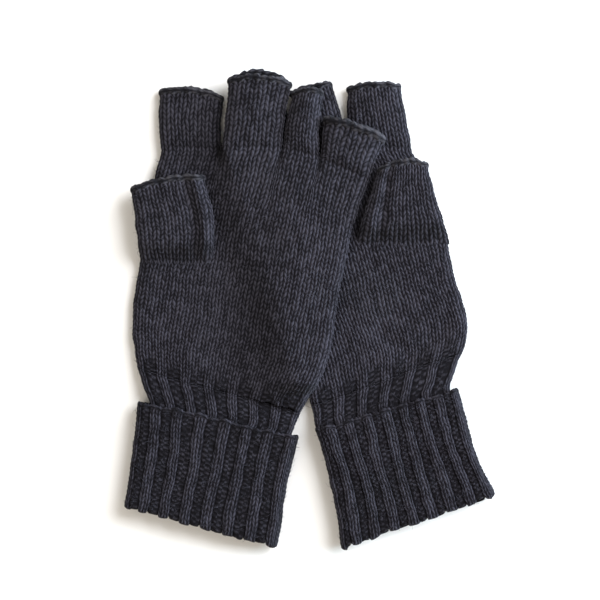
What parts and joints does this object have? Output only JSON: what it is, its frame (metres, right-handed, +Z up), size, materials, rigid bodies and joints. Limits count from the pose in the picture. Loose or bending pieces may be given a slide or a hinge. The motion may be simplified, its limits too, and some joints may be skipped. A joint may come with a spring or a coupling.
{
  "type": "fingerless glove pair",
  "caption": "Pair of knitted fingerless gloves lying flat and overlapping, palms up, with short open finger and thumb tubes and deep turned-up ribbed cuffs.",
  "frame": {"origin": "under the middle of the pair's bounding box, on the surface that the gloves lie on", "axes": "+Z up, +Y towards the fingertips, +X towards the wearer's right glove, the lower one"},
  "size_m": [0.1616, 0.206, 0.0123],
  "materials": {
    "stockinette": "matt wool-like stockinette knit, fuzzy, black with a blue-grey cast",
    "rib_knit": "matt two-by-two rib knit, black with a blue-grey cast",
    "bound_edge": "matt bound-off chain of the same yarn"
  },
  "bodies": {
    "right_glove": {"right_hand": "stockinette", "right_wrist": "rib_knit", "right_middle": "stockinette", "right_middle_edge": "bound_edge", "right_ring": "stockinette", "right_ring_edge": "bound_edge", "right_little": "stockinette", "right_little_edge": "bound_edge"},
    "left_glove": {"left_hand": "stockinette", "left_wrist": "rib_knit"},
    "left_index": {"left_index": "stockinette", "left_index_edge": "bound_edge"},
    "left_middle": {"left_middle": "stockinette", "left_middle_edge": "bound_edge"},
    "left_ring": {"left_ring": "stockinette", "left_ring_edge": "bound_edge"},
    "left_little": {"left_little": "stockinette", "left_little_edge": "bound_edge"},
    "left_thumb": {"left_thumb": "stockinette", "left_thumb_edge": "bound_edge"},
    "left_cuff": {"left_cuff": "rib_knit", "left_cuff_edge": "rib_knit"},
    "right_thumb": {"right_thumb": "stockinette", "right_thumb_edge": "bound_edge"},
    "right_cuff": {"right_cuff": "rib_knit", "right_cuff_edge": "rib_knit"},
    "right_index": {"right_index": "stockinette", "right_index_edge": "bound_edge"}
  },
  "joints": [
    {"name": "left_glove_lift", "type": "slide", "parent": "right_glove", "child": "left_glove", "axis": [0, 0, 1], "range_m": [0, 0.08]},
    {"name": "left_index_bend", "type": "hinge", "parent": "left_glove", "child": "left_index", "pos_m": [-0.05145, 0.07079, 0.0061], "axis": [0.9996, -0.03, 0], "range_deg": [0, 80]},
    {"name": "left_middle_bend", "type": "hinge", "parent": "left_glove", "child": "left_middle", "pos_m": [-0.02489, 0.06938, 0.0124], "axis": [0.995, -0.0998, 0], "range_deg": [0, 80]},
    {"name": "left_ring_bend", "type": "hinge", "parent": "left_glove", "child": "left_ring", "pos_m": [-0.00343, 0.06749, 0.0124], "axis": [0.996, -0.0899, 0], "range_deg": [0, 80]},
    {"name": "left_little_bend", "type": "hinge", "parent": "left_glove", "child": "left_little", "pos_m": [0.01575, 0.05658, 0.0124], "axis": [0.9988, -0.05, 0], "range_deg": [0, 80]},
    {"name": "left_thumb_raise", "type": "hinge", "parent": "left_glove", "child": "left_thumb", "pos_m": [-0.05755, 0.02105, 0.00615], "axis": [0.9999, -0.0159, 0], "range_deg": [0, 90]},
    {"name": "left_cuff_unfold", "type": "slide", "parent": "left_glove", "child": "left_cuff", "axis": [-0.1637, -0.9865, 0], "range_m": [0, 0.04]},
    {"name": "right_thumb_raise", "type": "hinge", "parent": "right_glove", "child": "right_thumb", "pos_m": [0.04495, 0.0293, 0.00615], "axis": [0.9996, 0.029, 0], "range_deg": [0, 90]},
    {"name": "right_cuff_unfold", "type": "slide", "parent": "right_glove", "child": "right_cuff", "axis": [0.2632, -0.9647, 0], "range_m": [0, 0.04]},
    {"name": "right_index_fan", "type": "hinge", "parent": "right_glove", "child": "right_index", "pos_m": [0.046, 0.06979, 0], "axis": [0, 0, -1], "range_deg": [0, 15]}
  ]
}
